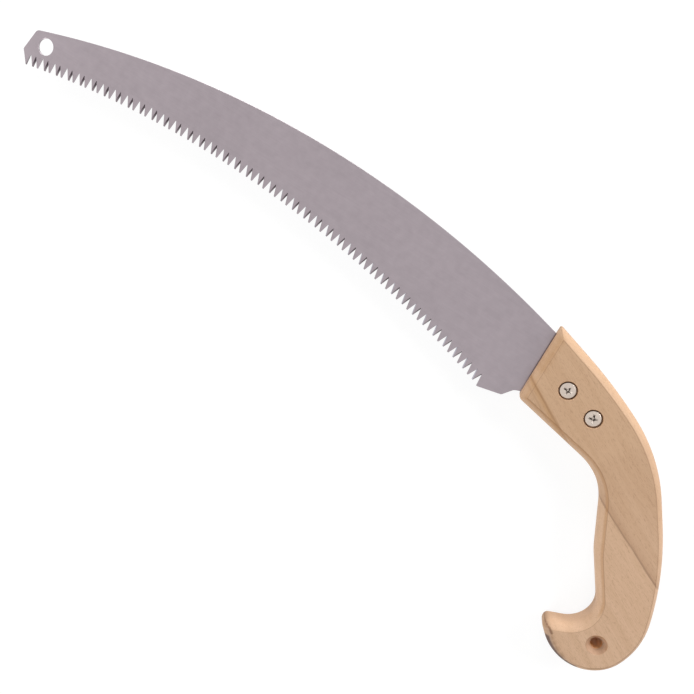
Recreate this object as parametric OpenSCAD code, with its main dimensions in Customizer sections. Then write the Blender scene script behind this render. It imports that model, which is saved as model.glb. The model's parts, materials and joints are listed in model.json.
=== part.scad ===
// Curved pruning saw: a fixed, concave-toothed steel blade held in a sawn slot of a
// one-piece hardwood pistol-grip handle by two machine screws and sleeve nuts.
// It lies flat: +Z is up through the thickness, +X runs from the blade's nose to the
// handle, and the teeth face -Y. The origin is the centre of the footprint, at the bottom.

/* [Blade] */
// Thickness of the blade plate
blade_t = 1.2; // [1:0.1:1.4]
// Radius of the circle that the tooth tips lie on
tooth_arc_r = 625; // [600:5:650]
// Centre of the tooth circle, across and along
tooth_arc_c = [35.6, -614.8];
// Radius of the arc of the blade's plain back
spine_arc_r = 598; // [590:1:606]
// Centre of the arc of the back
spine_arc_c = [74.9, -539.6];
// X of the square end of the nose
nose_x = -240.7; // [-246:0.1:-240]
// Diameter of the hole in the nose, for hanging the saw
nose_hole_d = 9.5; // [6:0.5:11]
// Place of the nose hole
nose_hole_at = [-230.5, -35];

/* [Teeth] */
// Number of teeth
teeth = 80; // [40:1:80]
// Distance between tooth tips, along their circle
tooth_pitch = 4; // [3.5:0.1:4]
// Depth of a gullet
tooth_depth = 6; // [3:0.1:7]
// Flat left on each tip
tip_flat = 0.3; // [0.2:0.1:0.6]
// Share of the pitch taken by a tooth's face on the handle's side, at the nose
nose_lean = 0.43; // [0.2:0.01:0.5]
// The same share at the heel, where the teeth lean most
heel_lean = 0.28; // [0.2:0.01:0.5]
// Angle at which the gullets are filed across the plate, left and right by turns
fleam = 28; // [0:1:35]
// Angle of the first tooth on its circle, from straight up
first_tooth_angle = -25.55; // [-25.7:0.01:-25.4]

/* [Handle] */
// Thickness of the handle
handle_t = 18; // [16:0.5:24]
// How far the rounded edge comes in over each flat face
round_in = 3.8; // [2:0.1:4.5]
// Slope at which the rounded edge meets the flat face
crease_angle = 27; // [0:1:40]
// Width of the slot sawn for the blade
kerf_w = 1.4; // [1.3:0.1:1.6]
// How far the slot reaches back
kerf_end_x = 150; // [146:1:156]

/* [Hanging hole] */
// Place of the hanging hole in the butt
hang_at = [223.2, -41.2];
// Radius of the hanging hole
hang_r = 3.3; // [2.5:0.1:4]
// Size of the bevel at each mouth of the hanging hole
hang_bevel = 2.4; // [1:0.1:3]

/* [Screws] */
// Places of the two screws
screw_at = [[109.4, 42.7], [128.9, 41.9]];
// Diameter of a screw head and of a nut head
head_d = 8.6; // [8:0.1:9]
// Height of a head's straight rim
head_rim = 1.3; // [1:0.1:1.6]
// Height of a head's dome over its rim
head_dome = 0.6; // [0.3:0.1:0.8]
// Diameter of the counterbores
counterbore_d = 9.8; // [9.4:0.1:11]
// Depth of the counterbores
counterbore_h = 2; // [1.6:0.1:2.6]
// Outer diameter of the sleeve nut's barrel
barrel_d = 6; // [5.5:0.1:6.4]
// Thread diameter of the screws
thread_d = 4; // [3.5:0.1:4.5]

/* [Hidden] */
$fn = 96;

mid_z = handle_t / 2;
barrel_gap = 0.1;              // radial room between a barrel and the holes that it passes
thread_gap = 0.02;             // radial room between a screw and its sleeve nut
kerf_cut_r = 100;              // radius of the saw disc that cuts the slot
pitch_angle = tooth_pitch / tooth_arc_r * 180 / PI;
gullet_r = tooth_arc_r + tooth_depth;

function on_circle(c, r, a) = [c[0] + r * sin(a), c[1] + r * cos(a)];

// Angle on the back's arc at a given x
function spine_angle(x) = asin((x - spine_arc_c[0]) / spine_arc_r);

// ---- an outline of straight runs joined by arcs ----
// Corners are [x, y, radius], in clockwise order. A radius of 0 is a sharp corner.
function unit(v) = v / norm(v);
function cross2(a, b) = a[0] * b[1] - a[1] * b[0];
function corner(c, i) = c[(i + len(c)) % len(c)];
function dir_in(c, i) = unit([for (k = [0, 1]) corner(c, i)[k] - corner(c, i - 1)[k]]);
function dir_out(c, i) = dir_in(c, i + 1);
function turn(c, i) =
    atan2(cross2(dir_in(c, i), dir_out(c, i)), dir_in(c, i) * dir_out(c, i));

// The corners of the same outline, drawn in by d: outer arcs shrink and inner ones grow.
function drawn_in(c, d, least = 0.3) = [
    for (i = [0:len(c) - 1])
        let (a = dir_in(c, i), b = dir_out(c, i), t = turn(c, i),
             inward = unit([a[1] + b[1], -a[0] - b[0]]),
             r = c[i][2] + (t > 0 ? d : -d))
        [c[i][0] + inward[0] * d / cos(t / 2), c[i][1] + inward[1] * d / cos(t / 2),
         c[i][2] == 0 ? 0 : max(r, least)]
];

// Points of the outline: arcs in short steps and straight runs in longer ones. The steps are
// counted on the finished outline c0, so every drawn-in copy has the same number of points.
function trim(c, i) = c[i][2] * tan(abs(turn(c, i)) / 2);
function arc_steps(c0, i) = c0[i][2] == 0 ? 0
    : max(2, ceil(abs(turn(c0, i)) / max(4, min(20, arc_step / c0[i][2] * 180 / PI))));
function run_steps(c0, i) =
    let (j = (i + 1) % len(c0), free = norm([for (k = [0, 1]) c0[j][k] - c0[i][k]]))
    max(1, round((free - trim(c0, i) - trim(c0, j)) / run_step));
function arc_start(c, i) = [for (k = [0, 1]) c[i][k] - dir_in(c, i)[k] * trim(c, i)];
function arc_end(c, i) = [for (k = [0, 1]) c[i][k] + dir_out(c, i)[k] * trim(c, i)];
function arc_points(c, i, n) =
    let (t = turn(c, i), a = dir_in(c, i), side = sign(t) * c[i][2] * [-a[1], a[0]],
         centre = arc_start(c, i) + side)
    [for (k = [0:n]) let (w = n == 0 ? 0 : t * k / n)
        centre - [side[0] * cos(w) - side[1] * sin(w), side[0] * sin(w) + side[1] * cos(w)]];
function run_points(c, i, n) =
    let (from = arc_end(c, i), to = arc_start(c, (i + 1) % len(c)))
    n < 2 ? [] : [for (k = [1:n - 1]) from + (to - from) * k / n];
function outline(c, c0) = [for (i = [0:len(c) - 1])
    each concat(arc_points(c, i, arc_steps(c0, i)), run_points(c, i, run_steps(c0, i)))];
arc_step = 2;
run_step = 10;

// Triangles between two chains of point numbers, a and b, taking the shorter diagonal
function strip(p, a, b, i = 0, j = 0) =
    i == len(a) - 1 && j == len(b) - 1 ? []
    : let (on_a = j == len(b) - 1 || (i < len(a) - 1
               && norm(p[a[i + 1]] - p[b[j]]) < norm(p[b[j + 1]] - p[a[i]])))
      concat([on_a ? [a[i], a[i + 1], b[j]] : [a[i], b[j + 1], b[j]]],
             strip(p, a, b, on_a ? i + 1 : i, on_a ? j : j + 1));

// ---- blade ----
// Corners of the plate past the end of its back: the tang inside the handle, then the heel
spine_end_x = 118;
tang_and_heel = [
    [141, 54.5, 5],         // tang, top of its end
    [141, 30, 6],           // tang, bottom of its end
    [98, 26, 2],            // where the tang meets the heel, inside the slot
    [91.9, 21.6, 4],        // hollow between the heel and the handle
    [89.2, 14.9, 1.6],      // back of the heel
    [76.8, 8.3, 0.8]        // front of the heel, beside the last gullet
];
nose_low = -45.1;           // bottom of the square end
nose_corner_r = 2.8;
corner_steps = 5;

function corner_arcs(c) = [for (i = [1:len(c) - 2]) each arc_points(c, i, corner_steps)];

module blade_plate() {
    first_tip = on_circle(tooth_arc_c, tooth_arc_r, first_tooth_angle);
    last_angle = first_tooth_angle + (teeth - 0.2) * pitch_angle;
    nose_top = [nose_x, on_circle(spine_arc_c, spine_arc_r, spine_angle(nose_x))[1]];
    start = spine_angle(nose_x + nose_corner_r);
    spine = [for (k = [0:60])
        on_circle(spine_arc_c, spine_arc_r, start + (spine_angle(spine_end_x) - start) * k / 60)];
    toothed = [for (k = [0:teeth])
        on_circle(tooth_arc_c, tooth_arc_r,
                  last_angle + (first_tooth_angle - last_angle) * k / teeth)];
    linear_extrude(height = blade_t) polygon(concat(
        corner_arcs([first_tip, [nose_x, nose_low, 1], concat(nose_top, nose_corner_r), spine[1]]),
        spine,
        corner_arcs(concat([spine[60]], tang_and_heel, [toothed[0]])),
        toothed
    ));
}

// One gullet: a notch that runs across the plate at the fleam angle
module gullet(side, lean) {
    across = blade_t / cos(fleam) + 4;
    over = 1.5;                                      // how far the notch runs past the tips
    gap = (tooth_pitch - tip_flat) * cos(fleam);
    grow = (tooth_depth + over) / tooth_depth;
    root = 0.12;                                     // half the flat at the bottom
    rotate([0, side * fleam, 0]) translate([0, 0, -across / 2])
        linear_extrude(height = across) polygon([
            [-root, 0], [root, 0],
            [gap * (1 - lean) * grow, -tooth_depth - over],
            [-gap * lean * grow, -tooth_depth - over]
        ]);
}

module blade() {
    color("#a0969b") translate([0, 0, mid_z - blade_t / 2]) difference() {
        blade_plate();
        for (k = [0:teeth - 1])
            let (lean = nose_lean + (heel_lean - nose_lean) * k / (teeth - 1))
            translate([tooth_arc_c[0], tooth_arc_c[1], blade_t / 2])
                rotate(-(first_tooth_angle + (k + lean) * pitch_angle))
                    translate([0, gullet_r, 0]) gullet(k % 2 == 0 ? 1 : -1, lean);
        translate([nose_hole_at[0], nose_hole_at[1], -1])
            cylinder(d = nose_hole_d, h = blade_t + 2);
        for (p = screw_at) translate([p[0], p[1], -1])
            cylinder(r = barrel_d / 2 + barrel_gap, h = blade_t + 2);
    }
}

// ---- handle ----
// Corners of the handle's side view, clockwise from the top of the front end
handle_corners = [
    [83.2, 63, 0],          // top of the front end
    [124, 60.9, 280],       // slight crown over the neck
    [166.5, 53, 93],        // bend of the back, neck to grip
    [217.4, 11.2, 184],     // behind the palm
    [240.75, -24.3, 46],    // back of the butt
    [240.05, -63.2, 24.5],  // foot of the butt
    [209, -62.9, 25.3],     // underside of the beak
    [194.6, -55, 3.5],      // tip of the beak
    [218.4, -35.1, 15.5],   // crotch where the little finger rests
    [185.1, -7.4, 53],      // swell under the middle fingers
    [156.1, 24.2, 33.5],    // where the forefinger rests
    [95.7, 21, 3]           // bottom of the front end
];

beak_tip = 7;           // number of the beak's corner in the list

// Share of the rounded edge's width at each corner: it is narrower behind the grip and butt
edge_share = [1, 1, 1, 0.8, 0.72, 0.94, 1, 1, 1, 1, 1, 1];

edge_r = round_in / (1 - sin(crease_angle));
edge_steps = 6;
edge_rise = edge_r * cos(crease_angle);
edge_over = 0.5;                // how far the edge's last slope runs past the flat face
board_from = [50, -100];        // corner of the planed board the handle is cut from
board_span = [220, 200];

kerf_mid_y = 42;                // height up the side view of the saw disc that cuts the slot

// The rounded edge's profile: [distance drawn in, height], from the bottom face up
edge_upper = concat(
    [for (k = [0:edge_steps])
        let (a = (90 - crease_angle) * k / edge_steps)
        [edge_r * (1 - cos(a)), handle_t - edge_rise + edge_r * sin(a)]],
    [[round_in + edge_over / tan(crease_angle), handle_t + edge_over]]
);
edge_lower = [for (k = [len(edge_upper) - 1:-1:0])
    [edge_upper[k][0], handle_t - edge_upper[k][1]]];
edge_profile = concat(edge_lower, edge_upper);

// Number of the outline's point at the start of corner i
function points_before(c, i) = i == 0 ? 0
    : points_before(c, i - 1) + arc_steps(c, i - 1) + run_steps(c, i - 1);

// The handle's outline, drawn in by d times the share at each point. The shares change evenly
// from the middle of one arc to the middle of the next.
share_at = [for (i = [0:len(handle_corners) - 1])
    [points_before(handle_corners, i) + arc_steps(handle_corners, i) / 2, edge_share[i]]];
function handle_ring(d) =
    let (whole = outline(handle_corners, handle_corners),
         inner = outline(drawn_in(handle_corners, d), handle_corners))
    [for (k = [0:len(whole) - 1]) whole[k] + (inner[k] - whole[k]) * lookup(k, share_at)];

// The rounded form, a little thicker than the handle: two planes then cut its flat faces
module rounded_form() {
    rings = [for (e = edge_profile) [for (p = handle_ring(e[0])) [p[0], p[1], e[1]]]];
    n = len(rings[0]);
    last = len(rings) - 1;
    beak = points_before(handle_corners, beak_tip);
    cap = strip(rings[last], [for (i = [0:beak]) i], [for (i = [n - 1:-1:beak + 1]) i]);
    faces = concat(
        [for (f = cap) [f[2], f[1], f[0]]],
        [for (f = cap) [for (v = f) last * n + v]],
        [for (j = [0:last - 1]) for (i = [0:n - 1]) let (i2 = (i + 1) % n)
            each [[j * n + i, j * n + i2, (j + 1) * n + i2],
                  [j * n + i, (j + 1) * n + i2, (j + 1) * n + i]]]
    );
    polyhedron([for (ring = rings) for (p = ring) p], faces);
}

module handle_body() {
    intersection() {
        rounded_form();
        translate([board_from[0], board_from[1], 0])
            cube([board_span[0], board_span[1], handle_t]);
    }
}

// The hanging hole, with the bevels at its mouths running on past the faces
module hanging_hole() {
    wide = hang_r + hang_bevel + 1;
    translate([hang_at[0], hang_at[1], 0]) rotate_extrude() polygon([
        [0, -1], [wide, -1], [hang_r, hang_bevel],
        [hang_r, handle_t - hang_bevel], [wide, handle_t + 1], [0, handle_t + 1]
    ]);
}

module handle() {
    color("#caa98c") difference() {
        handle_body();
        translate([kerf_end_x - kerf_cut_r, kerf_mid_y, mid_z - kerf_w / 2])
            cylinder(r = kerf_cut_r, h = kerf_w, $fn = 180);
        for (p = screw_at) translate([p[0], p[1], 0]) {
            translate([0, 0, -1]) cylinder(r = barrel_d / 2 + barrel_gap, h = handle_t + 2);
            translate([0, 0, -1]) cylinder(d = counterbore_d, h = counterbore_h + 1);
            translate([0, 0, handle_t - counterbore_h])
                cylinder(d = counterbore_d, h = counterbore_h + 1);
        }
        hanging_hole();
    }
}

// ---- fasteners ----
// A domed head that stands on z = 0
module head() {
    dome_r = (head_d * head_d / 4 + head_dome * head_dome) / (2 * head_dome);
    cylinder(d = head_d, h = head_rim);
    intersection() {
        translate([0, 0, head_rim + head_dome - dome_r]) sphere(r = dome_r);
        translate([0, 0, head_rim]) cylinder(d = head_d, h = head_dome + 1);
    }
}

// Cross recess, sunk from z = 0 down
recess_span = 4.8;
recess_w = 1;
recess_h = 1.4;
module cross_recess() {
    for (a = [0, 90]) rotate(a) translate([-recess_span / 2, -recess_w / 2, -recess_h])
        cube([recess_span, recess_w, recess_h + 1]);
    translate([0, 0, -recess_h]) cylinder(d = recess_w * 2, h = recess_h + 1);
}

seat_up = handle_t - counterbore_h;     // where a screw head bears, at the upper face
seat_down = counterbore_h;              // where a nut head bears, at the lower face
barrel_top = seat_up - 3;
screw_end = seat_down + 2;

module screw(p, turned) {
    color("#c9c9cc") translate([p[0], p[1], 0]) rotate(turned) difference() {
        union() {
            translate([0, 0, seat_up]) head();
            translate([0, 0, screw_end]) cylinder(d = thread_d, h = seat_up - screw_end);
        }
        translate([0, 0, seat_up + head_rim + head_dome]) cross_recess();
    }
}

module sleeve_nut(p, turned) {
    color("#c9c9cc") translate([p[0], p[1], 0]) rotate(turned) difference() {
        union() {
            translate([0, 0, seat_down]) mirror([0, 0, 1]) head();
            translate([0, 0, seat_down]) cylinder(d = barrel_d, h = barrel_top - seat_down);
        }
        translate([0, 0, screw_end - 0.5])
            cylinder(r = thread_d / 2 + thread_gap, h = barrel_top - screw_end + 1);
        translate([0, 0, seat_down - head_rim - head_dome]) mirror([0, 0, 1]) cross_recess();
    }
}

module front_screw() { screw(screw_at[0], 12); }
module rear_screw() { screw(screw_at[1], 35); }
module front_sleeve_nut() { sleeve_nut(screw_at[0], 50); }
module rear_sleeve_nut() { sleeve_nut(screw_at[1], 5); }

blade();
handle();
front_screw();
rear_screw();
front_sleeve_nut();
rear_sleeve_nut();
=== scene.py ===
# %% [markdown]
# # A curved pruning saw
# The saw is a thin toothed plate, a one-piece wooden handle with a sawn slot, and two screws
# with sleeve nuts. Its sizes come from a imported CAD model, which is loaded first as a fixed
# frame. Each visible piece is then rebuilt here as a finer mesh, in the same place.

# %% Load the frame
import json
from math import asin, atan2, ceil, cos, pi, radians, sin, sqrt, tan

import bmesh
import bpy
from mathutils import Matrix, Vector
from mathutils.geometry import tessellate_polygon


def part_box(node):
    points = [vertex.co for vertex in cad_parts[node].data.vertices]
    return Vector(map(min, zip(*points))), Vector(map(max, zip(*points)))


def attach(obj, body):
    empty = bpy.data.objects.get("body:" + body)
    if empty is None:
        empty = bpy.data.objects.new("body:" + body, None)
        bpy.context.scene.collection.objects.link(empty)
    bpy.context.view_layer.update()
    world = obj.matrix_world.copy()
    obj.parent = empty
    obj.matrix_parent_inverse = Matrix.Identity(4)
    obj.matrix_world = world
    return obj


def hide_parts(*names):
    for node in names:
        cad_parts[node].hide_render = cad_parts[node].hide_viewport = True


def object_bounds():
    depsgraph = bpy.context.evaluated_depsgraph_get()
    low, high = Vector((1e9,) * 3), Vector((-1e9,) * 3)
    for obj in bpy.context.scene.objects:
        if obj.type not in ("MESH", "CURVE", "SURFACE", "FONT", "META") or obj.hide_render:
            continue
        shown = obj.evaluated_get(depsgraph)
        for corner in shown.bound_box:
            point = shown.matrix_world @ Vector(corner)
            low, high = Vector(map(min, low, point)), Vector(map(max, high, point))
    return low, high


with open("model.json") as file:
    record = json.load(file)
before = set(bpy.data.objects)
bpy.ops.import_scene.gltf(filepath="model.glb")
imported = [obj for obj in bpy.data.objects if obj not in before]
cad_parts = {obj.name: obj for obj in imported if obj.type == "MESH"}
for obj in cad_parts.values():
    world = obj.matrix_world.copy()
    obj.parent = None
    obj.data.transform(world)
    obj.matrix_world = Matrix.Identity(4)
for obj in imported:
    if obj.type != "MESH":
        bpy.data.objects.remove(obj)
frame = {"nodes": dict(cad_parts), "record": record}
cad_box = [list(corner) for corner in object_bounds()]
mounts = {mount["name"]: mount for mount in frame["record"]["mounts"]}
print("nodes:", sorted(frame["nodes"]), "size in m:", [round(h - l, 4) for l, h in zip(*cad_box)])

# %% [markdown]
# Saw makers work in millimetres and Blender in metres, so every shape below is worked out in
# millimetres, and one helper turns it into a mesh. The thicknesses and the places of the
# screws are read from the frame.

# %% Sizes from the frame
MM = 0.001


def box_mm(node):
    """Lowest and highest corner of a CAD node, in millimetres."""
    return [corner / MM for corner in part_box(node)]


def centre_mm(node):
    low, high = box_mm(node)
    return (low + high) / 2


handle_low, handle_high = box_mm("handle")
blade_low, blade_high = box_mm("blade")
THICK = handle_high.z - handle_low.z
PLATE = blade_high.z - blade_low.z
MID = (blade_low.z + blade_high.z) / 2
NOSE_X = blade_low.x
screws = {end: centre_mm(end + "_screw") for end in ("front", "rear")}
HEAD_R = (box_mm("front_screw")[1].x - box_mm("front_screw")[0].x) / 2
print(f"handle {THICK:.1f} thick, plate {PLATE:.1f} thick, screw heads {2 * HEAD_R:.1f} across")

# %% [markdown]
# ## Meshes out of rings
# Every piece of this saw can be made by joining rings of points: the handle's rings shrink
# towards its flat faces, the blade's rings are its outline at several heights, and a screw's
# rings are circles. So one function joins rings, and another closes an end. An end may be any
# outline, even hooked, and may have holes, which Blender's own tessellator handles.

# %% Ring helpers
def join_rings(faces, rings):
    """Add the quads between neighbouring rings of point numbers."""
    for low, high in zip(rings, rings[1:]):
        for i in range(len(low)):
            j = (i + 1) % len(low)
            faces.append((low[i], low[j], high[j], high[i]))


def close_end(points, faces, ring, holes=(), up=True):
    """Fill a flat ring, leaving its holes open."""
    loops = [[Vector(points[i]) for i in loop] for loop in (ring, *holes)]
    numbers = [i for loop in (ring, *holes) for i in loop]
    for triangle in tessellate_polygon(loops):
        a, b, c = (Vector(points[numbers[k]]) for k in triangle)
        looks_up = (b - a).cross(c - a).z > 0
        picked = [numbers[k] for k in triangle]
        faces.append(tuple(picked if looks_up == up else picked[::-1]))


def add_ring(points, ring):
    """Store a ring's points and return their numbers."""
    first = len(points)
    points.extend(ring)
    return list(range(first, len(points)))


WELD = 1e-7


def new_object(name, data):
    made = bpy.data.objects.new(name, data)
    bpy.context.scene.collection.objects.link(made)
    return made


def make_object(name, points, faces):
    """A new object from points in millimetres. Points in the same place become one."""
    mesh = bpy.data.meshes.new(name)
    mesh.from_pydata([Vector(p) * MM for p in points], [], faces)
    work = bmesh.new()
    work.from_mesh(mesh)
    bmesh.ops.remove_doubles(work, verts=work.verts, dist=WELD)
    bmesh.ops.recalc_face_normals(work, faces=work.faces)
    work.to_mesh(mesh)
    work.free()
    return new_object(name, mesh)


def circle(radius, z, centre, steps):
    angles = [2 * pi * k / steps for k in range(steps)]
    return [(centre[0] + radius * cos(a), centre[1] + radius * sin(a), z) for a in angles]


# %% [markdown]
# Round things that are turned on a lathe are a half profile, spun. The same function makes the
# tools that cut holes, so a hole and the head that sits in it are described alike.

# %% Lathe and cutting helpers
def turned(name, profile, centre, steps=96):
    """A closed solid from a profile of (radius, height), spun round a vertical axis."""
    points, faces = [], []
    rings = [add_ring(points, circle(r, z, centre, steps)) for r, z in profile]
    join_rings(faces, rings)
    close_end(points, faces, rings[0], up=False)
    close_end(points, faces, rings[-1], up=True)
    return make_object(name, points, faces)


def cut(target, *tools):
    """Take the tools away from the target, and keep only the result."""
    for tool in tools:
        modifier = target.modifiers.new(tool.name, "BOOLEAN")
        modifier.object = tool
        modifier.operation = "DIFFERENCE"
        modifier.solver = "EXACT"
    graph = bpy.context.evaluated_depsgraph_get()
    result = bpy.data.meshes.new_from_object(target.evaluated_get(graph))
    target.modifiers.clear()
    target.data = result
    result.name = target.name
    for tool in tools:
        bpy.data.objects.remove(tool)
    return target


FLAT = 0.99999


def shade(piece, sharp_over=radians(20)):
    """Smooth shading on curved stretches, with flat faces and sharp edges kept crisp."""
    mesh = piece.data
    mesh.polygons.foreach_set("use_smooth", [True] * len(mesh.polygons))
    mesh.set_sharp_from_angle(angle=sharp_over)
    work = bmesh.new()
    work.from_mesh(mesh)
    for edge in work.edges:
        flat = [abs(face.normal.z) > FLAT for face in edge.link_faces]
        if len(flat) == 2 and flat[0] != flat[1]:
            edge.smooth = False
    work.to_mesh(mesh)
    work.free()
    print(f"{piece.name}: {len(mesh.vertices)} points, {len(mesh.polygons)} faces")
    return piece


# %% [markdown]
# ## The handle's outline
# The handle is sawn out of a board and then rounded over. Its side view is drawn the way a
# pattern maker would: a few corners, each with the radius that rounds it. Drawing the same
# corners further in gives the next ring up the rounded edge. Outer arcs shrink as they are
# drawn in and inner ones grow, exactly as a rounding cutter leaves them. The back of the grip
# and the butt are rounded less, so each corner also has its share of the full rounding, and
# the points between two corners take shares in between.

# %% Handle outline
# x, y and radius of each corner, clockwise from the top of the front end
HANDLE_CORNERS = [
    (83.2, 63, 1.0),  # top of the front end
    (124, 60.9, 280),  # slight crown over the neck
    (166.5, 53, 93),  # bend of the back, neck to grip
    (217.4, 11.2, 184),  # behind the palm
    (240.75, -24.3, 46),  # back of the butt
    (240.05, -63.2, 24.5),  # foot of the butt
    (209, -62.9, 25.3),  # underside of the beak
    (194.6, -55, 3.5),  # tip of the beak
    (218.4, -35.1, 15.5),  # crotch where the little finger rests
    (185.1, -7.4, 53),  # swell under the middle fingers
    (156.1, 24.2, 33.5),  # where the forefinger rests
    (95.7, 21, 3),  # bottom of the front end
]
# Share of the rounded edge's width at each corner: it is narrower behind the grip and butt
EDGE_SHARE = [1, 1, 1, 0.8, 0.72, 0.94, 1, 1, 1, 1, 1, 1]
# Lengths between points on arcs and on straight runs
ARC_STEP = 1.3
RUN_STEP = 4
LEAST_ARC_STEPS = 4
LEAST_RADIUS = 0.3


def directions(corners, i):
    """Directions of the two straight runs that meet in a corner."""
    here = Vector(corners[i][:2])
    before = Vector(corners[i - 1][:2])
    after = Vector(corners[(i + 1) % len(corners)][:2])
    return (here - before).normalized(), (after - here).normalized()


def turn_at(corners, i):
    """The angle from one run to the next, positive to the left."""
    a, b = directions(corners, i)
    return atan2(a.x * b.y - a.y * b.x, a.dot(b))


def drawn_in(corners, distance):
    """The same corners, moved in by a distance."""
    result = []
    for i, (x, y, radius) in enumerate(corners):
        a, b = directions(corners, i)
        turn = turn_at(corners, i)
        inward = Vector((a.y + b.y, -a.x - b.x)).normalized() * distance / cos(turn / 2)
        grown = radius + (distance if turn > 0 else -distance)
        result.append((x + inward.x, y + inward.y, max(grown, LEAST_RADIUS)))
    return result


def corner_arc(corners, i, steps):
    """Points of the arc that rounds one corner."""
    along = directions(corners, i)[0]
    turn = turn_at(corners, i)
    x, y, radius = corners[i]
    start = Vector((x, y)) - along * radius * tan(abs(turn) / 2)
    side = Vector((-along.y, along.x)) * radius * (1 if turn > 0 else -1)
    centre = start + side
    angles = [turn * k / steps for k in range(steps + 1)]
    return [centre - Matrix.Rotation(angle, 2) @ side for angle in angles]


def step_counts(corners):
    """Steps of each arc and of the straight run that follows it, counted on one outline."""
    counts = []
    for i, (x, y, radius) in enumerate(corners):
        j = (i + 1) % len(corners)
        arc = max(LEAST_ARC_STEPS, ceil(abs(turn_at(corners, i)) * radius / ARC_STEP))
        gap = (Vector(corners[j][:2]) - Vector((x, y))).length
        for k in (i, j):
            gap -= corners[k][2] * tan(abs(turn_at(corners, k)) / 2)
        counts.append((arc, max(1, round(gap / RUN_STEP))))
    return counts


def outline(corners, counts):
    """All points of a rounded outline."""
    arcs = [corner_arc(corners, i, counts[i][0]) for i in range(len(corners))]
    points = []
    for i, arc in enumerate(arcs):
        after = arcs[(i + 1) % len(arcs)][0]
        run = counts[i][1]
        points += arc + [arc[-1].lerp(after, k / run) for k in range(1, run)]
    return points


def shares_along(counts, shares):
    """The share at each point, changing evenly from the middle of one arc to the next."""
    middles, first = [], 0
    for (arc, run), share in zip(counts, shares):
        middles.append((first + arc / 2, share))
        first += arc + run
    result = []
    for k in range(first):
        before = max((m for m in middles if m[0] <= k), default=middles[0])
        after = min((m for m in middles if m[0] > k), default=middles[-1])
        part = (k - before[0]) / max(after[0] - before[0], 1)
        result.append(before[1] + (after[1] - before[1]) * min(max(part, 0), 1))
    return result


handle_counts = step_counts(HANDLE_CORNERS)
edge_shares = shares_along(handle_counts, EDGE_SHARE)
print("points in one ring of the handle:", len(outline(HANDLE_CORNERS, handle_counts)))

# %% [markdown]
# ## The handle's body
# The rounded edge comes in 3.8 mm and meets each flat side at a slope of 27 degrees, so a crisp
# line runs all round the handle. Behind the palm it is narrower and so a little steeper. Wood
# never keeps a perfect edge, so the last quarter of a millimetre turns over in a small curve,
# which catches a thin line of light.

# %% Handle body
ROUND_IN = 3.8
CREASE = radians(27)
EDGE_R = ROUND_IN / (1 - sin(CREASE))
EDGE_STEPS = 12
SOFT = 0.28
SOFT_STEPS = 4


def edge_profile():
    """(distance in, depth below the flat face), from the upright wall to the flat face."""
    rise = EDGE_R * cos(CREASE)
    last = pi / 2 - CREASE - SOFT / EDGE_R
    profile = []
    for k in range(EDGE_STEPS + 1):
        angle = last * k / EDGE_STEPS
        profile.append((EDGE_R * (1 - cos(angle)), rise - EDGE_R * sin(angle)))
    start = Vector(profile[-1])
    bend = Vector((ROUND_IN, 0))
    end = Vector((ROUND_IN + SOFT, 0))
    for k in range(1, SOFT_STEPS + 1):
        t = k / SOFT_STEPS
        profile.append(start.lerp(bend, t).lerp(bend.lerp(end, t), t))
    return profile


def handle_body():
    profile = edge_profile()
    heights = [(d, handle_low.z + h) for d, h in reversed(profile)]
    heights += [(d, handle_high.z - h) for d, h in profile]
    outer = outline(HANDLE_CORNERS, handle_counts)
    points, faces, rings = [], [], []
    for distance, z in heights:
        inner = outline(drawn_in(HANDLE_CORNERS, distance), handle_counts)
        flat = [a.lerp(b, share) for a, b, share in zip(outer, inner, edge_shares)]
        rings.append(add_ring(points, [(p.x, p.y, z) for p in flat]))
    join_rings(faces, rings)
    close_end(points, faces, rings[0], up=False)
    close_end(points, faces, rings[-1], up=True)
    return make_object("handle_wood_body", points, faces)


# %% [markdown]
# A disc saw cuts the slot, a drill makes the two screw holes and their counterbores, and a
# countersink opens both mouths of the hanging hole. The tools that make holes are turned from
# a profile of one mouth, which is repeated upside down at the other face. Their mouths flare a
# little, because drilled wood has soft rims.

# %% Handle holes
SLOT = 1.4
SLOT_DISC_R = 100
SLOT_DISC_Y = 42
SLOT_END_X = 150
COUNTERBORE_R = 4.9
COUNTERBORE_H = 2
BARREL_HOLE_R = 3.1
RIM = 0.25
OUTSIDE = 1
HANG_BEVEL = 2.4
HANG_RIM = 0.1
hang = mounts["hanging_hole"]
hang_at = Vector(hang["pos_m"]) / MM
HANG_R = hang["dims"]["r_mm"]


def slot_tool():
    disc = [(SLOT_DISC_R, MID - SLOT / 2), (SLOT_DISC_R, MID + SLOT / 2)]
    return turned("slot_tool", disc, (SLOT_END_X - SLOT_DISC_R, SLOT_DISC_Y), steps=256)


def through_handle(name, mouth, centre):
    """A tool from one mouth's profile of (radius, depth), used at both faces."""
    up = [(r, handle_low.z + depth) for r, depth in mouth]
    down = [(r, handle_high.z - depth) for r, depth in reversed(mouth)]
    return turned(name, up + down, centre)


def screw_hole_tool(end):
    mouth = [
        (COUNTERBORE_R + RIM + OUTSIDE, -OUTSIDE),
        (COUNTERBORE_R + RIM, 0),
        (COUNTERBORE_R, RIM),
        (COUNTERBORE_R, COUNTERBORE_H),
        (BARREL_HOLE_R, COUNTERBORE_H),
    ]
    return through_handle(end + "_tool", mouth, screws[end])


def hanging_hole_tool():
    mouth_r = HANG_R + HANG_BEVEL
    mouth = [
        (mouth_r + OUTSIDE + 2 * HANG_RIM, -OUTSIDE),
        (mouth_r + HANG_RIM, 0),
        (mouth_r - 1.2 * HANG_RIM, 1.8 * HANG_RIM),
        (HANG_R + HANG_RIM, HANG_BEVEL - HANG_RIM),
        (HANG_R, HANG_BEVEL + HANG_RIM),
    ]
    return through_handle("hang_tool", mouth, hang_at)


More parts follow.
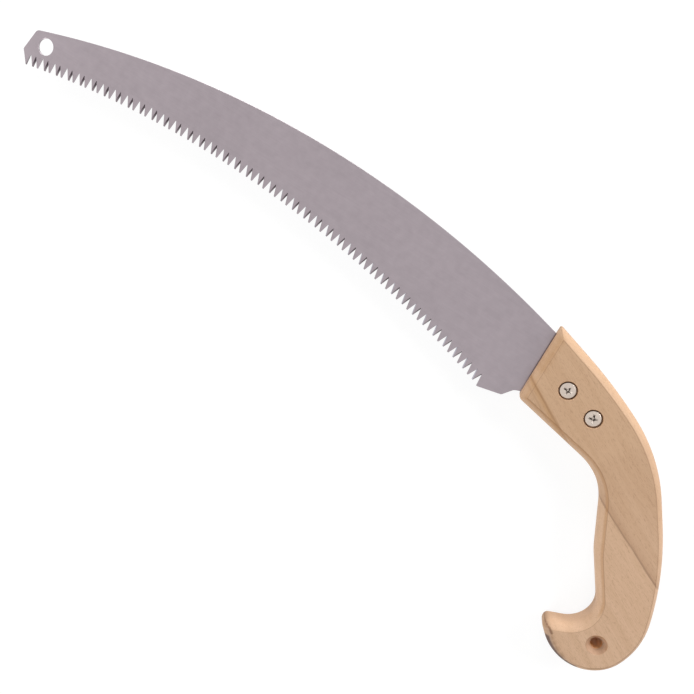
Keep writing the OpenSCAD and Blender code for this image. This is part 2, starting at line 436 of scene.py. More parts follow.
handle = handle_body()
cut(handle, slot_tool(), screw_hole_tool("front"), screw_hole_tool("rear"), hanging_hole_tool())
shade(handle)
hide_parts("handle")
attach(handle, "root")

# %% [markdown]
# ## The blade's teeth
# A pruning saw's gullets are ground across the plate at a slant, to the left and to the right
# by turns. Each tooth so gets a knife edge on one face only, and every other gullet looks
# deeper from one side. At a given height through the plate, a gullet is a plain V that has
# slid sideways. Where two neighbouring Vs meet, the tooth comes to a point. The tips lie on
# one arc, and the teeth lean a little more towards the handle near it than at the nose.

# %% Tooth rows
TIP_ARC_R = 625
TIP_ARC_AT = Vector((35.6, -614.8))
TEETH = 80
PITCH = 4
DEPTH = 6
TIP_FLAT = 0.3
# Where the root lies between two tips, as a share of the pitch: 0.5 is an upright V
NOSE_LEAN = 0.43
HEEL_LEAN = 0.28
# The grinder's slant across the plate, and half the width of the root that it leaves
FLEAM = radians(28)
ROOT_HALF = 0.12
FIRST_ANGLE = radians(-25.55)
PITCH_ANGLE = PITCH / TIP_ARC_R
# How far each V runs on past the tips, so that neighbours can be made to meet
OVER = 1.5


def on_arc(centre, radius, angle):
    return centre + Vector((sin(angle), cos(angle))) * radius


def gullet(k, z):
    """Left and right flank of a gullet at height z: each is (root, end past the tips)."""
    lean = NOSE_LEAN + (HEEL_LEAN - NOSE_LEAN) * k / (TEETH - 1)
    angle = FIRST_ANGLE + (k + lean) * PITCH_ANGLE
    outward = Vector((sin(angle), cos(angle)))
    along = Vector((cos(angle), -sin(angle)))
    side = 1 if k % 2 == 0 else -1
    middle = TIP_ARC_AT + outward * (TIP_ARC_R + DEPTH) + along * side * z * tan(FLEAM)
    root = ROOT_HALF / cos(FLEAM)
    wide = (PITCH - TIP_FLAT) * (DEPTH + OVER) / DEPTH
    down = outward * (DEPTH + OVER)
    left = (middle - along * root, middle - along * wide * lean - down)
    right = (middle + along * root, middle + along * wide * (1 - lean) - down)
    return left, right


def meet(first, second):
    """Where two lines cross, as shares of the way along each."""
    p, r = first[0], first[1] - first[0]
    q, s = second[0], second[1] - second[0]
    det = r.x * s.y - r.y * s.x
    gap = q - p
    return (gap.x * s.y - gap.y * s.x) / det, (gap.x * r.y - gap.y * r.x) / det


def tooth_tip(before, after):
    """The two ends of a tip: apart on the tip circle, or one point where the flanks meet."""
    full = DEPTH / (DEPTH + OVER)
    a = meet(before, after)[0]
    if 0 < a < full:
        point = before[0].lerp(before[1], a)
        return point, point
    return before[0].lerp(before[1], full), after[0].lerp(after[1], full)


# %% [markdown]
# ## The blade's outline
# The plain back is one long arc. The nose is cut square with a sloping shoulder, and the heel
# runs out to a blunt corner before the plate narrows into the slot. The tang goes on inside
# the handle, past both screws, where nobody sees it.

# %% Blade outline
SPINE_R = 598
SPINE_AT = Vector((74.9, -539.6))
SPINE_END_X = 118
SPINE_STEPS = 120
NOSE_LOW = -45.1
NOSE_ROUND = 2.8
TANG_AND_HEEL = [
    (141, 54.5, 5),  # tang, top of its end
    (141, 30, 6),  # tang, bottom of its end
    (98, 26, 2),  # where the tang meets the heel, inside the slot
    (91.9, 21.6, 4),  # hollow between the heel and the handle
    (89.2, 14.9, 1.6),  # back of the heel
]
HEEL_FRONT = Vector((76.8, 8.3))
HEEL_ROUND = 0.6
CORNER_STEPS = 8


def spine_point(x):
    """The plain back's point at a place along the saw."""
    return on_arc(SPINE_AT, SPINE_R, asin((x - SPINE_AT.x) / SPINE_R))


def rounded(corners):
    """Arcs at all but the first and last of an open run of corners."""
    padded = corners + [corners[0]]
    return [p for i in range(1, len(corners) - 1) for p in corner_arc(padded, i, CORNER_STEPS)]


def plain_edge(z):
    """The untoothed edge at height z, from the heel round the back to the first tooth."""
    first_tip = on_arc(TIP_ARC_AT, TIP_ARC_R, FIRST_ANGLE)
    nose_top = spine_point(NOSE_X)
    after_nose = NOSE_X + NOSE_ROUND
    spine = [
        spine_point(after_nose + (SPINE_END_X - after_nose) * k / SPINE_STEPS)
        for k in range(SPINE_STEPS + 1)
    ]
    nose = rounded([
        (*first_tip, 0), (NOSE_X, NOSE_LOW, 1), (*nose_top, NOSE_ROUND), (*spine[1], 0)
    ])
    flank = gullet(TEETH - 1, z)[1]
    heel_back = Vector(TANG_AND_HEEL[-1][:2])
    share = meet(flank, (HEEL_FRONT, heel_back))[0]
    heel_corner = flank[0].lerp(flank[1], share)
    heel = rounded([(*spine[-1], 0), *TANG_AND_HEEL, (*heel_corner, HEEL_ROUND), (*flank[0], 0)])
    return [first_tip] + nose + spine + heel


def moved_in(points, distance):
    """Move each point of an open run square to it, to its right."""
    moved = []
    for i, here in enumerate(points):
        before, after = points[max(i - 1, 0)], points[min(i + 1, len(points) - 1)]
        along = (after - before).normalized()
        moved.append(here + Vector((along.y, -along.x)) * distance)
    return moved


# %% [markdown]
# The plate is six rings deep: its two faces, the start of the small break on its edges, and
# the two heights where a tooth's flat tip closes to a point. Each tooth's face is its own
# polygon, so bending alternate teeth out of the plate, which is called set, keeps the rest
# of the plate flat.

# %% Blade
BREAK = 0.1
SET = 0.16
HOLE_STEPS = 64
nose_hole = mounts["nose_hole"]


def blade_ring(z, inset):
    """One ring, and the kind of each point: the plain edge, then roots with tips between."""
    edge = plain_edge(z)
    edge = [edge[0]] + moved_in(edge[1:], inset)
    ring = [(p.x, p.y, z) for p in edge]
    kinds = ["edge"] * len(ring)
    for k in range(TEETH - 1, -1, -1):
        left, right = gullet(k, z)
        ring += [(*right[0], z), (*left[0], z)]
        kinds += ["root", "root"]
        if k > 0:
            a, b = tooth_tip(gullet(k - 1, z)[1], left)
            bent = z + (SET if k % 2 == 0 else -SET)
            ring += [(*b, bent), (*a, bent)]
            kinds += ["tip", "tip"]
    return ring, kinds


def blade_body():
    meet_z = TIP_FLAT / (2 * tan(FLEAM))
    half = PLATE / 2
    upper = [(meet_z, 0), (half - BREAK, 0), (half, BREAK)]
    levels = [(-z, inset) for z, inset in reversed(upper)] + upper
    points, faces, rings = [], [], []
    for z, inset in levels:
        ring, kinds = blade_ring(z, inset)
        rings.append(add_ring(points, [(x, y, h + MID) for x, y, h in ring]))
    join_rings(faces, rings)
    holes = [(Vector(nose_hole["pos_m"]) / MM, nose_hole["dims"]["r_mm"])]
    holes += [(at, BARREL_HOLE_R) for at in screws.values()]
    hole_rings = []
    for at, radius in holes:
        walls = [
            add_ring(points, circle(radius + inset, z + MID, at, HOLE_STEPS)) for z, inset in levels
        ]
        join_rings(faces, walls)
        hole_rings.append(walls)
    for level, up in ((0, False), (-1, True)):
        ring = rings[level]
        body = [i for i, kind in zip(ring, kinds) if kind != "tip"]
        close_end(points, faces, body, [walls[level] for walls in hole_rings], up)
        for i, kind in enumerate(kinds):
            if kind == "tip" and kinds[i - 1] == "root":
                faces.append(tuple(ring[j] for j in (i - 1, i, i + 1, i + 2)))
    return make_object("blade_plate", points, faces)


blade = blade_body()
shade(blade, radians(12))
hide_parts("blade")
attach(blade, "root")

# %% [markdown]
# ## Screws and sleeve nuts
# Each fastener is turned: a low domed head with a rounded rim over a plain shank or barrel.
# The cross recess is a tapered plus sign, cut out of the head. It narrows towards its bottom,
# as the driver that fits it does.

# %% Fasteners
DOME = 0.6
HEAD_H = 1.3
HEAD_RIM = 0.35
RIM_STEPS = 6
DOME_STEPS = 12
PEAK_R = 0.02
THREAD_R = 2.0
THREAD_GAP = 0.02
BORE_SPARE = 0.5
BARREL_R = 3.0
SCREW_CHAMFER = 0.4
BARREL_CHAMFER = 0.3
RECESS_SPAN = 4.8
RECESS_W = 1.0
RECESS_H = 1.7
RECESS_TAPER = 0.7
RECESS_CORNER = 1.5
SEAT_UP = handle_high.z - COUNTERBORE_H
SEAT_DOWN = handle_low.z + COUNTERBORE_H
BARREL_TOP = SEAT_UP - 3
SCREW_END = SEAT_DOWN + 2
# How far each fastener was turned when it was tight, in degrees
screw_turns = {"front": 12, "rear": 35}
nut_turns = {"front": 50, "rear": 5}


def dome_point(radius):
    """A point on the dome of a head, at a distance from its middle."""
    dome_r = (HEAD_R**2 + DOME**2) / (2 * DOME)
    return Vector((radius, HEAD_H + DOME - dome_r + sqrt(dome_r**2 - radius**2)))


def head_profile():
    """(radius, height over the seat) of a head, from its seat to the top of its dome."""
    low = Vector((HEAD_R, HEAD_H - HEAD_RIM))
    corner = Vector((HEAD_R, HEAD_H))
    inner_r = HEAD_R - HEAD_RIM * 1.5
    high = dome_point(inner_r)
    profile = [Vector((HEAD_R, 0)), low]
    for t in (k / RIM_STEPS for k in range(1, RIM_STEPS)):
        profile.append(low.lerp(corner, t).lerp(corner.lerp(high, t), t))
    for k in range(DOME_STEPS + 1):
        profile.append(dome_point(max(inner_r * (1 - k / DOME_STEPS), PEAK_R)))
    return profile


def recess_tool(centre, top, turn, down):
    """A tapered plus sign that sinks from the top of a head. down is -1 or 1."""
    arm, half = RECESS_SPAN / 2, RECESS_W / 2
    corner = half * RECESS_CORNER
    quarter = [(arm, -half), (arm, half), (corner, half), (corner, corner), (half, corner)]
    plus = [Matrix.Rotation(radians(90 * q), 2) @ Vector(p) for q in range(4) for p in quarter]
    points, faces, rings = [], [], []
    # share of the plus sign's size at each depth, from above the dome to the recess's bottom
    for share, z in ((1.1, -0.4), (1.0, 0.3), (1 - RECESS_TAPER, RECESS_H)):
        spun = [Matrix.Rotation(radians(turn), 2) @ (p * share) for p in plus]
        level = top + down * z
        rings.append(add_ring(points, [(centre.x + p.x, centre.y + p.y, level) for p in spun]))
    join_rings(faces, rings)
    close_end(points, faces, rings[0])
    close_end(points, faces, rings[-1])
    return make_object("recess_tool", points, faces)


def make_screw(end):
    head = [(r, SEAT_UP + h) for r, h in head_profile()]
    tip = [(THREAD_R - SCREW_CHAMFER, SCREW_END), (THREAD_R, SCREW_END + SCREW_CHAMFER)]
    shank = tip + [(THREAD_R, SEAT_UP)]
    piece = turned(end + "_screw_body", shank + head, screws[end])
    top = SEAT_UP + HEAD_H + DOME
    return cut(piece, recess_tool(screws[end], top, screw_turns[end], -1))


def make_sleeve_nut(end):
    head = [(r, SEAT_DOWN - h) for r, h in reversed(head_profile())]
    mouth = [(BARREL_R, BARREL_TOP - BARREL_CHAMFER), (BARREL_R - BARREL_CHAMFER, BARREL_TOP)]
    barrel = [(BARREL_R, SEAT_DOWN)] + mouth
    piece = turned(end + "_sleeve_nut_body", head + barrel, screws[end])
    bore_r = THREAD_R + THREAD_GAP
    ends = [(bore_r, SCREW_END - BORE_SPARE), (bore_r, BARREL_TOP + OUTSIDE)]
    bore = turned("bore_tool", ends, screws[end])
    top = SEAT_DOWN - HEAD_H - DOME
    return cut(piece, bore, recess_tool(screws[end], top, nut_turns[end], 1))


fasteners = []
for end in ("front", "rear"):
    for kind, make in (("screw", make_screw), ("sleeve_nut", make_sleeve_nut)):
        piece = shade(make(end), radians(30))
        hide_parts(f"{end}_{kind}")
        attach(piece, "root")
        fasteners.append(piece)

# %% [markdown]
# ## Helpers for materials
# Materials are node trees. Short helpers keep them readable: one adds a node and feeds its
# inputs, and the others name the few kinds of node that every finish below is made of.

# %% Node helpers
def feed(tree, node, values):
    """Give a node its inputs. A value that is a socket is linked, and any other is set."""
    for name, value in values.items():
        if isinstance(value, bpy.types.NodeSocket):
            tree.links.new(value, node.inputs[name])
        else:
            node.inputs[name].default_value = value


def put(tree, kind, values=None, **settings):
    """Add a shader node."""
    made = tree.nodes.new("ShaderNode" + kind)
    for name, value in settings.items():
        setattr(made, name, value)
    feed(tree, made, values or {})
    return made


def math(tree, operation, *values):
    """Do one sum on every point of the surface."""
    return put(tree, "Math", dict(enumerate(values)), operation=operation).outputs[0]


def times(tree, first, second):
    return math(tree, "MULTIPLY", first, second)


def dot(tree, vector, direction):
    """How far a vector reaches along a direction."""
    made = put(tree, "VectorMath", {0: vector, 1: direction}, operation="DOT_PRODUCT")
    return made.outputs["Value"]


def distance(tree, vector, place):
    return put(tree, "VectorMath", {0: vector, 1: place}, operation="DISTANCE").outputs["Value"]


def ramp(tree, value, low, high, to_low=0.0, to_high=1.0):
    """Map a value smoothly from one range to another, and stop at its ends."""
    values = {"Value": value, "From Min": low, "From Max": high}
    values |= {"To Min": to_low, "To Max": to_high}
    return put(tree, "MapRange", values, interpolation_type="SMOOTHSTEP").outputs[0]


def mix(tree, factor, first, second, blend="MIX"):
    """Mix two colours."""
    colours = {0: factor, 6: first, 7: second}
    return put(tree, "Mix", colours, data_type="RGBA", blend_type=blend).outputs[2]


def tinted(tree, colour, amount, strength, tint):
    """Move a colour towards a tint."""
    return mix(tree, times(tree, amount, strength), colour, tint)


def noise(tree, vector, scale, detail=2.0, rough=0.5):
    """Soft random values from 0 to 1."""
    values = {"Vector": vector, "Scale": scale, "Detail": detail, "Roughness": rough}
    return put(tree, "TexNoise", values, normalize=True).outputs["Fac"]


def stretched(tree, vector, scale):
    """Stretch a coordinate by a different amount along each axis."""
    return put(tree, "VectorMath", {0: vector, 1: scale}, operation="MULTIPLY").outputs[0]


def linear(red, green, blue):
    """A colour given as it looks on screen, 0 to 255, in Blender's own linear values."""
    return tuple(
        c / 12.92 if c <= 0.04045 else ((c + 0.055) / 1.055) ** 2.4
        for c in (red / 255, green / 255, blue / 255)
    ) + (1.0,)


# %% [markdown]
# An effect that wood and steel share is made once, as a node group with named inputs, and is
# then placed in each material. The shader itself always stays in the material.

# %% Group and material helpers
def new_group(name, inputs, outputs):
    """A shader node group with named sockets."""
    tree = bpy.data.node_groups.new(name, "ShaderNodeTree")
    for direction, sockets in (("INPUT", inputs), ("OUTPUT", outputs)):
        for socket, kind, *value in sockets:
            kind = "NodeSocket" + kind
            made = tree.interface.new_socket(socket, in_out=direction, socket_type=kind)
            if value:
                made.default_value = value[0]
    given = tree.nodes.new("NodeGroupInput").outputs
    return tree, given, tree.nodes.new("NodeGroupOutput").inputs


def empty_material(name):
    material = bpy.data.materials.new(name)
    material.use_nodes = True
    material.node_tree.nodes.clear()
    return material, material.node_tree


def new_material(name):
    """A material with a plain Principled shader."""
    material, tree = empty_material(name)
    shader = put(tree, "BsdfPrincipled")
    put(tree, "OutputMaterial", {"Surface": shader.outputs[0]})
    return material, tree, shader


def place(tree, group, **values):
    """Place a node group and set its inputs."""
    return put(tree, "Group", values, node_tree=group).outputs


def bump(tree, strength, distance, height):
    values = {"Strength": strength, "Distance": distance, "Height": height}
    return put(tree, "Bump", values).outputs[0]


def dress(piece, material):
    """Give a piece one material."""
    piece.data.materials.clear()
    piece.data.materials.append(material)


# %% [markdown]
# ## Shared effects
# Wood and steel both have fine lines that run one way: fibres on the handle, and polishing
# lines on the plate. The lines are noise drawn out along one axis, and flecks are its highest
# parts. Both surfaces also vary slowly from place to place. Every material sets its own scale.

# %% Group: fine lines
FLECK_SCALE = 1.9
FLECK_EDGE = 0.07

inputs = [("Vector", "Vector"), ("Length", "Float", 20.0), ("Width", "Float", 0.4)]
inputs += [("Gaps", "Float", 0.5)]
outputs = [("Lines", "Float"), ("Flecks", "Float")]
lines_group, given, result = new_group("fine_lines", inputs, outputs)
per_width = math(lines_group, "DIVIDE", 1.0, given["Width"])
per_length = math(lines_group, "DIVIDE", 1.0, given["Length"])
axes = {"X": per_length, "Y": per_width, "Z": per_width}
drawn_out = put(lines_group, "CombineXYZ", axes).outputs[0]
drawn_out = stretched(lines_group, given["Vector"], drawn_out)
lines_group.links.new(noise(lines_group, drawn_out, 1.0, 3.0, 0.6), result["Lines"])
speck = noise(lines_group, drawn_out, FLECK_SCALE, 1.0)
full = math(lines_group, "ADD", given["Gaps"], FLECK_EDGE)
lines_group.links.new(ramp(lines_group, speck, given["Gaps"], full), result["Flecks"])
print("group", lines_group.name, "has", len(lines_group.nodes), "nodes")

# %% Group: soft mottle
inputs = [("Vector", "Vector"), ("Size", "Float", 30.0), ("Amount", "Float", 0.1)]
mottle_group, given, result = new_group("soft_mottle", inputs, [("Shade", "Float")])
per_size = math(mottle_group, "DIVIDE", 1.0, given["Size"])
cloud = noise(mottle_group, given["Vector"], per_size, 4.0, 0.55)
centred = math(mottle_group, "SUBTRACT", cloud, 0.5)
swing = times(mottle_group, centred, given["Amount"])
doubled = times(mottle_group, swing, 2.0)
mottle_group.links.new(math(mottle_group, "ADD", doubled, 1.0), result["Shade"])
print("group", mottle_group.name, "has", len(mottle_group.nodes), "nodes")

# %% [markdown]
# Marks are placed where they are on the saw, in millimetres, so every material starts from the
# place on the object. It can be turned, so that lines run with the grain or along the plate.

# %% Coordinates in millimetres
def millimetres(tree, turn=0.0):
    """The place on the object in millimetres, turned about the vertical axis."""
    scaled = stretched(tree, put(tree, "TexCoord").outputs["Object"], (1 / MM,) * 3)
    return put(tree, "Mapping", {"Vector": scaled, "Rotation": (0.0, 0.0, turn)}).outputs[0]


def side_view(tree, here):
    """The same place, without its height."""
    return stretched(tree, here, (1.0, 1.0, 0.0))


def facing(tree):
    """The direction that the surface faces on the object."""
    return put(tree, "TexCoord").outputs["Normal"]


# %% [markdown]
# ## Wood
# The handle is a pale hardwood. Its fibres run 13.5 degrees down from the saw's length, so
# every layer below is drawn in a coordinate turned to match: x runs with the grain and y
# across it. The even layers come first: wood that is paler towards the butt, faint growth
# bands, thin fibres, short dark pores and a few longer veins.

# %% Wood grain
GRAIN_TURN = radians(13.5)
NECK_WOOD = linear(199, 164, 132)
BUTT_WOOD = linear(210, 175, 145)
BAND = linear(184, 147, 113)
FIBRE = linear(172, 135, 102)
PORE = linear(140, 103, 74)
VEIN = linear(150, 112, 80)
WANDER = 5.0
PORE_DEPTH = 0.8


def with_grain(x, y):
    """A place in the side view, in the turned coordinate."""
    c, s = cos(GRAIN_TURN), sin(GRAIN_TURN)
    return (x * c - y * s, x * s + y * c, 0.0)


def even_wood(tree, here):
    """Colour and height of plain wood, and its fibres."""
    wave = noise(tree, stretched(tree, here, (0.02, 0.05, 0.05)), 1.0, 1.0)
    wobble = times(tree, math(tree, "SUBTRACT", wave, 0.5), WANDER)
    shift = put(tree, "CombineXYZ", {"Y": wobble}).outputs[0]
    wavy = put(tree, "VectorMath", {0: here, 1: shift}, operation="ADD").outputs[0]
    x = put(tree, "SeparateXYZ", {"Vector": here}).outputs["X"]

    bands = noise(tree, stretched(tree, wavy, (0.008, 0.2, 0.12)), 1.0, 3.0, 0.6)
    fibres = place(tree, lines_group, Vector=wavy, Length=12.0, Width=0.32)["Lines"]
    pores = place(tree, lines_group, Vector=wavy, Length=3.4, Width=0.5, Gaps=0.6)["Flecks"]
    veins = place(tree, lines_group, Vector=wavy, Length=17.0, Width=0.75, Gaps=0.68)["Flecks"]

    colour = mix(tree, ramp(tree, x, 110.0, 215.0), NECK_WOOD, BUTT_WOOD)
    colour = tinted(tree, colour, ramp(tree, bands, 0.35, 0.7), 0.3, BAND)
    colour = tinted(tree, colour, ramp(tree, fibres, 0.42, 0.75), 0.25, FIBRE)
    colour = tinted(tree, colour, pores, 0.3, PORE)
    colour = tinted(tree, colour, veins, 0.3, VEIN)
    height = math(tree, "SUBTRACT", fibres, times(tree, pores, PORE_DEPTH))
    return colour, height, fibres


# %% [markdown]
# Then come the marks that make this board this one: a growth line across the grip with darker
# wood just beyond it, and two streaks with an ochre wash and a stain at the front end. Each
# line is the distance from a straight run between two places, made rough by the fibres.

# %% Wood marks
def near(tree, flat, x, y, radius, soft):
    """1 within a radius of a place in the side view and 0 beyond it, with a soft border."""
    return ramp(tree, distance(tree, flat, with_grain(x, y)), radius, radius + soft, 1.0, 0.0)


def places_along(start, end, count):
    """Evenly spaced places from one point of the side view to another."""
    return [Vector(start).lerp(Vector(end), i / (count - 1)) for i in range(count)]


def any_of(tree, masks):
    """The strongest of several masks."""
    result = masks[0]
    for mask in masks[1:]:
        result = math(tree, "MAXIMUM", result, mask)
    return result


def near_any(tree, flat, places, radius, soft):
    """1 within a radius of any of several places."""
    return any_of(tree, [near(tree, flat, x, y, radius, soft) for x, y in places])


def growth_line(tree, here, start, end, width, wobble):
    """A thin line from point to point, where it applies, and the distance beyond it."""
    x1, y1 = with_grain(*start)[:2]
    x2, y2 = with_grain(*end)[:2]
    axes = put(tree, "SeparateXYZ", {"Vector": here}).outputs
    straight = {"Value": axes["X"], "From Min": x1, "From Max": x2, "To Min": y1, "To Max": y2}
    on_line = put(tree, "MapRange", straight, clamp=False).outputs[0]
    off = math(tree, "ADD", math(tree, "SUBTRACT", axes["Y"], on_line), wobble)
    line = ramp(tree, math(tree, "ABSOLUTE", off), 0.0, width, 1.0, 0.0)
    head = ramp(tree, axes["X"], x1 - FADE_OUT, x1 + FADE_IN)
    tail = ramp(tree, axes["X"], x2 - FADE_IN, x2 + FADE_OUT, 1.0, 0.0)
    within = times(tree, head, tail)
    return times(tree, line, within), within, off


LATE_WOOD = linear(150, 112, 82)
GROWTH_RING = linear(116, 80, 56)
OCHRE = linear(174, 130, 82)
STREAK = linear(138, 98, 62)
STAIN = linear(168, 124, 76)
STAIN_PLACES = places_along((87.5, 57.5), (92, 41.5), 5)
ROUGH_LINE = 1.6
FADE_OUT = 3
FADE_IN = 6


def grain_marks(tree, here, flat, colour, fibres):
    fine = times(tree, math(tree, "SUBTRACT", fibres, 0.5), ROUGH_LINE)
    ring, within, off = growth_line(tree, here, (146, 19), (222, 3.6), 0.8, fine)
    beyond = times(tree, ramp(tree, off, 0.0, 0.6), ramp(tree, off, 0.5, 6.0, 0.34, 0.1))
    colour = tinted(tree, colour, beyond, within, LATE_WOOD)
    colour = tinted(tree, colour, ring, 0.6, GROWTH_RING)
    wash = growth_line(tree, here, (87, 34.6), (128, 22.6), 2.6, fine)[0]
    colour = tinted(tree, colour, wash, 0.5, OCHRE)
    front = growth_line(tree, here, (89, 34.4), (133, 22.8), 1.0, fine)[0]
    second = growth_line(tree, here, (90, 31), (116, 23.6), 1.1, fine)[0]
    streaks = math(tree, "MAXIMUM", front, times(tree, second, 0.5))
    colour = tinted(tree, colour, streaks, 0.52, STREAK)
    stain = near_any(tree, flat, STAIN_PLACES, 0.6, 3.4)
    stain = times(tree, stain, ramp(tree, fibres, 0.3, 0.7, 0.4, 1.0))
    return tinted(tree, colour, stain, 0.42, STAIN)


# %% [markdown]
# The beak has a knot, a crack from the knot to its tip, and a side that the band saw browned
# and scorched. Each is a row of soft round spots that run together. The scorch follows the
# butt's round outline, so its spots lie on an arc.

# %% Beak marks
BROWNED_AND_CREASE_SHADE = linear(132, 96, 66)
SCORCH = linear(62, 34, 24)
CRACK = linear(104, 66, 42)
KNOT = linear(100, 64, 40)
SIDE_PLACES = places_along((196, -53.5), (208, -59), 5) + places_along((212, -60), (216, -60.5), 2)
CRACK_PLACES = places_along((195.5, -54), (200, -54), 5)
KNOT_PLACES = places_along((201, -54), (203.5, -55), 4)
SCORCH_CENTRE = Vector((216, -40.5))
SCORCH_R = 22
SCORCH_ANGLES = [radians(a) for a in range(243, 294, 10)]
SCORCH_PLACES = [SCORCH_CENTRE + SCORCH_R * Vector((cos(a), sin(a))) for a in SCORCH_ANGLES]
TOP = THICK / 2


def beak_marks(tree, flat, height, colour):
    """height is the distance from the mid-plane."""
    browned = near_any(tree, flat, SIDE_PLACES, 0.6, 3.2)
    colour = tinted(tree, colour, browned, 0.5, BROWNED_AND_CREASE_SHADE)
    low = ramp(tree, height, TOP - 1.5, TOP - 0.1, 1.0, 0.0)
    low = times(tree, low, ramp(tree, height, 2.5, 5.5, 0.3, 1.0))
    scorched = times(tree, near_any(tree, flat, SCORCH_PLACES, 2.2, 2.4), low)
    colour = tinted(tree, colour, scorched, 0.92, SCORCH)
    colour = tinted(tree, colour, near_any(tree, flat, CRACK_PLACES, 0.1, 0.8), 0.6, CRACK)
    return tinted(tree, colour, near_any(tree, flat, KNOT_PLACES, 0.2, 0.9), 0.66, KNOT)


# %% [markdown]
# A thin darker line of painted shade runs along the crease where the rounded edge meets the
# flat sides, and an ochre strip of painted shade lies next to it on the bevel that faces into
# the grip. Both are found from the height above the mid-plane, which is the same for the upper
# and the lower side. Drilled wood shows end grain, which soaks up more oil, so the bevels of the
# holes are darker. Deeper in, the walls of the holes get painted light, warmer and brighter
# than the oiled faces.

# %% Rim shade, holes and the wood material
INNER_BEVEL_SHADE = linear(176, 126, 74)
OILED_END_GRAIN = linear(132, 88, 60)
HOLE_WALL_LIGHT = linear(246, 190, 128)


def rim_shade(tree, axes, height, colour):
    """Painted shade on the rounded edge. The line fades at the front and along the butt."""
    below = ramp(tree, height, TOP - 0.01, TOP, 1.0, 0.0)
    # Painted shade along the crease
    line = times(tree, ramp(tree, height, TOP - 0.3, TOP - 0.12), below)
    forward = dot(tree, facing(tree), (-1.0, 0.0, 0.0))
    line = times(tree, line, ramp(tree, forward, 0.15, 0.4, 1.0, 0.0))
    line = times(tree, line, ramp(tree, axes["Y"], -6.0, 6.0, 0.35, 1.0))
    colour = tinted(tree, colour, line, 0.42, BROWNED_AND_CREASE_SHADE)
    # Painted shade on the bevel that faces into the grip
    inward = dot(tree, facing(tree), (0.0, -1.0, 0.0))
    strip = times(tree, ramp(tree, height, TOP - 1.4, TOP - 0.5), below)
    strip = times(tree, strip, ramp(tree, inward, 0.1, 0.3))
    strip = times(tree, strip, ramp(tree, axes["Y"], -6.0, 10.0))
    return tinted(tree, colour, strip, 0.45, INNER_BEVEL_SHADE)


def end_grain_and_wall_light(tree, flat, height, colour):
    """Darker end grain from the surface down to the bevel's depth, and painted light below it."""
    mouth = ramp(tree, height, TOP - HANG_BEVEL - 0.6, TOP - HANG_BEVEL, 0.2, 1.0)
    bevels = times(tree, ramp(tree, height, TOP - 0.2, TOP, 1.0, 0.0), mouth)
    holes = [(hang_at, HANG_R + HANG_BEVEL)] + [(at, COUNTERBORE_R) for at in screws.values()]
    walls = any_of(tree, [near(tree, flat, at.x, at.y, radius + RIM, 0.1) for at, radius in holes])
    oiled = times(tree, walls, bevels)
    colour = tinted(tree, colour, oiled, 0.42, OILED_END_GRAIN)
    # Painted light on the walls of the holes below the bevels
    deep = times(tree, walls, math(tree, "SUBTRACT", 1.0, mouth))
    return tinted(tree, colour, deep, 0.9, HOLE_WALL_LIGHT)


def wood_material():
    material, tree, shader = new_material("pale_hardwood")
    here = millimetres(tree, GRAIN_TURN)
    axes = put(tree, "SeparateXYZ", {"Vector": here}).outputs
    height = math(tree, "ABSOLUTE", math(tree, "SUBTRACT", axes["Z"], MID))
    flat = side_view(tree, here)
    colour, grain, fibres = even_wood(tree, here)
    colour = grain_marks(tree, here, flat, colour, fibres)
    colour = rim_shade(tree, axes, height, colour)
    colour = beak_marks(tree, flat, height, colour)
    colour = end_grain_and_wall_light(tree, flat, height, colour)
    cloud = place(tree, mottle_group, Vector=here, Size=28.0, Amount=0.06)["Shade"]
    feed(tree, shader, {
        "Base Color": colour,
        "Roughness": times(tree, cloud, 0.58),
        "Normal": bump(tree, 0.25, 0.12 * MM, grain),
        "Specular IOR Level": 0.35,
    })
    return material


dress(handle, wood_material())
print("wood nodes:", len(handle.data.materials[0].node_tree.nodes))

# %% [markdown]
# ## Steel
# The plate is rolled carbon steel, polished to a soft grey with faint lines along its length.
# It is metal, so its colour is the colour of its reflections, and small changes of roughness
# are what the eye reads as polish. The flanks of the teeth that face the handle carry a painted
# dark reflection, deepest at their roots, and the other flanks a painted bright reflection. A
# painted shadow darkens the plate where it leaves the wood.

# %% Painted reflections and shadow on the plate
FLANK_DARK_REFLECTION = linear(70, 58, 60)
FLANK_BRIGHT_REFLECTION = linear(206, 208, 222)
PAINTED_HANDLE_SHADOW = linear(64, 50, 54)
TO_HANDLE = (0.95, 0.3, 0.0)


def flank_reflections(tree, colour):
    """Painted dark reflection on the flanks towards the handle, deepest at the roots, and a painted
    bright reflection on the others.
    """
    back = dot(tree, facing(tree), TO_HANDLE)
    reach = distance(tree, side_view(tree, millimetres(tree)), TIP_ARC_AT.to_3d())
    depth = math(tree, "SUBTRACT", reach, TIP_ARC_R)
    toothed = ramp(tree, depth, DEPTH + 0.5, DEPTH + 1, 1.0, 0.0)
    root = times(tree, toothed, ramp(tree, depth, 0.8, 4.5, 0.35, 1.0))
    # Painted dark reflection on the flanks that face the handle, deepest at their roots
    dark_flank_reflection = times(tree, ramp(tree, back, 0.3, 0.7), root)
    colour = tinted(tree, colour, dark_flank_reflection, 0.85, FLANK_DARK_REFLECTION)
    # Painted bright reflection on the flanks that face away from the handle
    bright = times(tree, ramp(tree, back, -0.3, -0.7), toothed)
    return tinted(tree, colour, bright, 0.5, FLANK_BRIGHT_REFLECTION)


